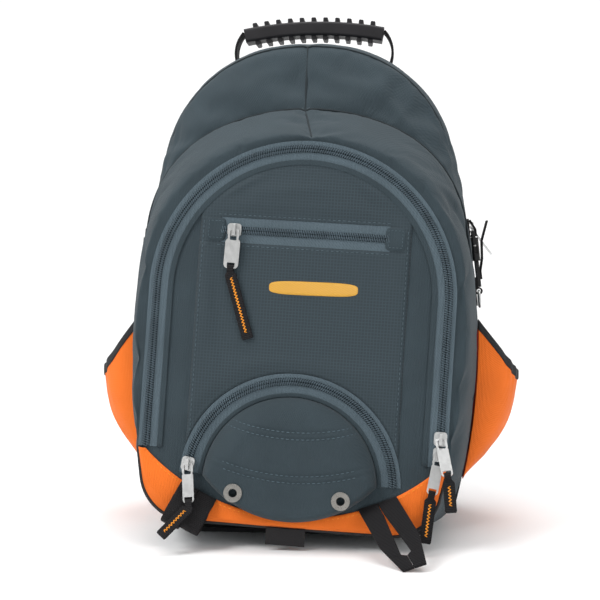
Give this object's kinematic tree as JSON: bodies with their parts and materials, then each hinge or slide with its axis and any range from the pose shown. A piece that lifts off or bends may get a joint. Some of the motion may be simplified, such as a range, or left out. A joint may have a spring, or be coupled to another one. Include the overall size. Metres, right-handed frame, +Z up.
{
  "type": "hiking backpack",
  "caption": "Upright hiking daypack with an arched front zip, half-moon lower pocket, orange side pockets, moulded grab handle and padded straps.",
  "frame": {"origin": "middle of the base panel's underside, on the surface the bag stands on", "axes": "+Z up, -Y the front of the bag, +X to the right seen from the front"},
  "size_m": [0.42, 0.349, 0.531],
  "materials": {
    "body_cloth": "plain woven polyester, slate grey",
    "panel_cloth": "grid-woven ripstop polyester, slate grey",
    "orange_cloth": "plain woven polyester, orange",
    "black_webbing": "ribbed polyester webbing, black",
    "base_cloth": "coated coarse woven polyester, black",
    "zip_tape": "knitted zip tape, blue-grey",
    "zip_coil": "nylon coil, blue-grey",
    "pull_metal": "die-cast, satin nickel",
    "eyelet_metal": "rolled steel, nickel plated",
    "black_plastic": "moulded acetal, black",
    "handle_rubber": "moulded soft rubber, black",
    "mesh_cloth": "spacer mesh, black",
    "elastic": "ribbed elastic binding, charcoal",
    "sheet_plastic": "polyethylene sheet, black"
  },
  "bodies": {
    "bag": {"main_compartment": "body_cloth", "front_compartment": "body_cloth", "base_panel": "base_cloth", "half_moon_pocket": "body_cloth", "eyelets": "eyelet_metal", "corner_trim": "orange_cloth", "centre_panel": "panel_cloth", "label_tag": "black_webbing", "frame_sheet": "sheet_plastic", "back_panel": "mesh_cloth", "back_pads": "mesh_cloth", "ladder_locks": "black_plastic", "shoulder_strap_left": "mesh_cloth", "lower_strap_left": "black_webbing", "shoulder_strap_right": "mesh_cloth", "lower_strap_right": "black_webbing", "strap_anchors": "black_webbing", "front_zip_tape": "zip_tape", "front_zip_coil": "zip_coil", "moon_zip_tape": "zip_tape", "moon_zip_coil": "zip_coil", "panel_zip_tape": "zip_tape", "panel_zip_coil": "zip_coil", "main_zip_tape": "zip_tape", "main_zip_coil": "zip_coil", "webbing_loop_right": "black_webbing", "webbing_loop_left": "black_webbing", "side_pocket_left": "orange_cloth", "pocket_binding_left": "elastic", "side_pocket_right": "orange_cloth", "pocket_binding_right": "elastic", "compression_strap_left": "black_webbing", "buckle_female_left": "black_plastic", "compression_strap_right": "black_webbing", "buckle_female_right": "black_plastic", "side_ring_tab": "black_webbing"},
    "grab_handle": {"grab_handle_grip": "handle_rubber", "grab_handle_webbing": "black_webbing"},
    "side_ring": {"side_ring": "pull_metal"},
    "panel_slider": {"panel_slider": "pull_metal"},
    "panel_puller": {"panel_puller": "pull_metal"},
    "panel_tab": {"panel_tab": "black_webbing"},
    "front_upper_slider": {"front_upper_slider": "pull_metal"},
    "front_upper_puller": {"front_upper_puller": "pull_metal"},
    "front_upper_tab": {"front_upper_tab": "black_webbing"},
    "front_lower_slider": {"front_lower_slider": "pull_metal"},
    "front_lower_puller": {"front_lower_puller": "pull_metal"},
    "front_lower_tab": {"front_lower_tab": "black_webbing"},
    "moon_slider": {"moon_slider": "pull_metal"},
    "moon_puller": {"moon_puller": "pull_metal"},
    "moon_tab": {"moon_tab": "black_webbing"},
    "main_upper_slider": {"main_upper_slider": "pull_metal"},
    "main_upper_puller": {"main_upper_puller": "pull_metal"},
    "main_lower_slider": {"main_lower_slider": "pull_metal"},
    "main_lower_puller": {"main_lower_puller": "pull_metal"},
    "buckle_male_left": {"buckle_male_left": "black_plastic", "compression_tail_left": "black_webbing"},
    "buckle_male_right": {"buckle_male_right": "black_plastic", "compression_tail_right": "black_webbing"}
  },
  "joints": [
    {"name": "grab_handle_swing", "type": "hinge", "parent": "bag", "child": "grab_handle", "pos_m": [0, 0.098, 0.48226], "axis": [1, 0, 0], "range_deg": [-80, 40]},
    {"name": "side_ring_swing", "type": "hinge", "parent": "bag", "child": "side_ring", "pos_m": [0.17444, 0.008, 0.23828], "axis": [0, -1, 0], "range_deg": [0, 100]},
    {"name": "panel_slider_run", "type": "slide", "parent": "bag", "child": "panel_slider", "axis": [0.9982, -0.0052, -0.0591], "range_m": [0, 0.134]},
    {"name": "panel_puller_lift", "type": "hinge", "parent": "panel_slider", "child": "panel_puller", "pos_m": [-0.06127, -0.10039, 0.29988], "axis": [-0.9956, 0.0082, 0.0937], "range_deg": [0, 115]},
    {"name": "panel_tab_lift", "type": "hinge", "parent": "panel_puller", "child": "panel_tab", "pos_m": [-0.06465, -0.10132, 0.26405], "axis": [-0.9956, 0.0082, 0.0937], "range_deg": [0, 90]},
    {"name": "front_upper_slider_run", "type": "slide", "parent": "bag", "child": "front_upper_slider", "axis": [0.0593, 0.087, 0.9944], "range_m": [0, 0.119]},
    {"name": "front_upper_puller_lift", "type": "hinge", "parent": "front_upper_slider", "child": "front_upper_puller", "pos_m": [0.13255, -0.11733, 0.10629], "axis": [-0.9829, -0.016, -0.1833], "range_deg": [0, 110]},
    {"name": "front_upper_tab_lift", "type": "hinge", "parent": "front_upper_puller", "child": "front_upper_tab", "pos_m": [0.13839, -0.13689, 0.07663], "axis": [-0.9829, -0.016, -0.1833], "range_deg": [0, 90]},
    {"name": "front_lower_slider_run", "type": "slide", "parent": "bag", "child": "front_lower_slider", "axis": [0.0593, 0.087, 0.9944], "range_m": [-0.005, 0.0005]},
    {"name": "front_lower_puller_lift", "type": "hinge", "parent": "front_lower_slider", "child": "front_lower_puller", "pos_m": [0.13169, -0.11859, 0.09187], "axis": [-0.9803, 0.0172, 0.1969], "range_deg": [0, 15]},
    {"name": "front_lower_tab_lift", "type": "hinge", "parent": "front_lower_puller", "child": "front_lower_tab", "pos_m": [0.12459, -0.12416, 0.05702], "axis": [-0.9803, 0.0172, 0.1969], "range_deg": [0, 90]},
    {"name": "moon_slider_run", "type": "hinge", "parent": "bag", "child": "moon_slider", "pos_m": [-0.00838, -0.11469, 0.06066], "axis": [0, 0.9962, -0.0872], "range_deg": [0, 164]},
    {"name": "moon_puller_lift", "type": "hinge", "parent": "moon_slider", "child": "moon_puller", "pos_m": [-0.10346, -0.11959, 0.08037], "axis": [-0.9952, -0.0085, -0.0972], "range_deg": [0, 110]},
    {"name": "moon_tab_lift", "type": "hinge", "parent": "moon_puller", "child": "moon_tab", "pos_m": [-0.10008, -0.13248, 0.04693], "axis": [-0.9952, -0.0085, -0.0972], "range_deg": [0, 90]},
    {"name": "main_upper_slider_run", "type": "hinge", "parent": "bag", "child": "main_upper_slider", "pos_m": [-0.528, 0.074, 0.19], "axis": [0, -1, 0], "range_deg": [0, 6.98]},
    {"name": "main_upper_puller_lift", "type": "hinge", "parent": "main_upper_slider", "child": "main_upper_puller", "pos_m": [0.16971, 0.074, 0.30361], "axis": [0.0279, -0.9848, -0.1714], "range_deg": [0, 110]},
    {"name": "main_lower_slider_run", "type": "hinge", "parent": "bag", "child": "main_lower_slider", "pos_m": [-0.528, 0.074, 0.19], "axis": [0, -1, 0], "range_deg": [-4.85, 0.04]},
    {"name": "main_lower_puller_lift", "type": "hinge", "parent": "main_lower_slider", "child": "main_lower_puller", "pos_m": [0.17194, 0.074, 0.28897], "axis": [-0.0146, -0.9945, 0.1035], "range_deg": [0, 20]},
    {"name": "buckle_left_release", "type": "slide", "parent": "bag", "child": "buckle_male_left", "axis": [-0.1114, 0, -0.9938], "range_m": [0, 0.02]},
    {"name": "buckle_right_release", "type": "slide", "parent": "bag", "child": "buckle_male_right", "axis": [0.1114, 0, -0.9938], "range_m": [0, 0.02]}
  ]
}
